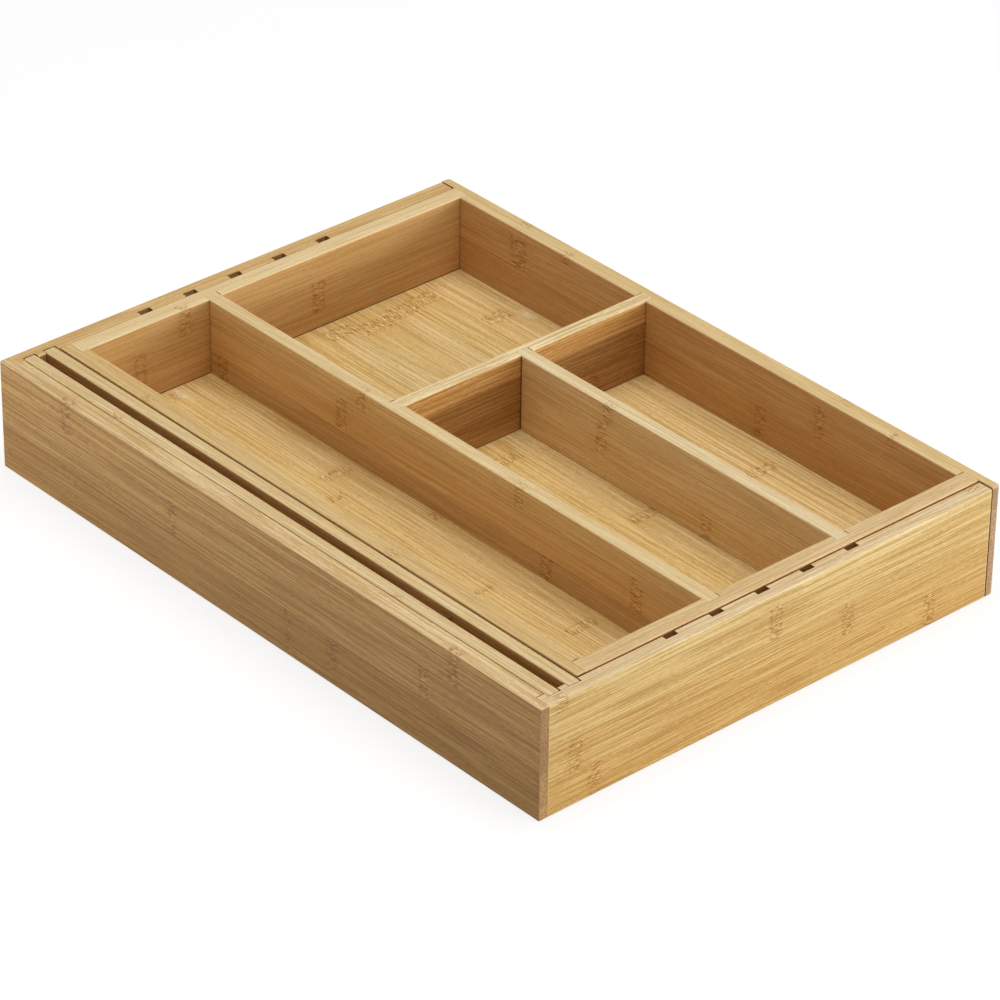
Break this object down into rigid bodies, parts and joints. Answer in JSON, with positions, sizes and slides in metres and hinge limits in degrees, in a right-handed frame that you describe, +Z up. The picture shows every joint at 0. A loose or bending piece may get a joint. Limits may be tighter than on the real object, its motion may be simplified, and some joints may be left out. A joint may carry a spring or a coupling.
{
  "type": "expandable cutlery tray",
  "caption": "Shallow bamboo drawer tray with fixed compartments; its insert slides out of the back of a notched frame, and loose dividers drop into the notches.",
  "frame": {"origin": "on the table, in the middle of the closed tray's footprint", "axes": "+X to the right along the front panel, +Y from the front panel to the back, +Z up"},
  "size_m": [0.43, 0.314, 0.0659],
  "materials": {
    "bamboo_frame": "satin clear lacquer",
    "bamboo_insert": "satin clear lacquer",
    "bamboo_panel": "satin clear lacquer",
    "bamboo_divider": "satin clear lacquer"
  },
  "bodies": {
    "frame": {"frame_front_panel": "bamboo_frame", "frame_left_side": "bamboo_frame", "frame_right_side": "bamboo_frame", "frame_bottom_panel": "bamboo_panel"},
    "insert": {"insert_front_wall": "bamboo_insert", "insert_back_wall": "bamboo_insert", "insert_left_wall": "bamboo_insert", "insert_right_wall": "bamboo_insert", "insert_bottom_panel": "bamboo_panel", "insert_long_divider": "bamboo_insert", "insert_cross_divider": "bamboo_insert", "insert_short_divider": "bamboo_insert"},
    "front_loose_divider": {"loose_divider_front": "bamboo_divider"},
    "rear_loose_divider": {"loose_divider_rear": "bamboo_divider"}
  },
  "joints": [
    {"name": "insert_slide", "type": "slide", "parent": "frame", "child": "insert", "axis": [0, 1, 0], "range_m": [0, 0.187]},
    {"name": "front_divider_lift", "type": "slide", "parent": "frame", "child": "front_loose_divider", "axis": [0, 0, 1], "range_m": [0, 0.06]},
    {"name": "rear_divider_lift", "type": "slide", "parent": "frame", "child": "rear_loose_divider", "axis": [0, 0, 1], "range_m": [0, 0.06]}
  ]
}
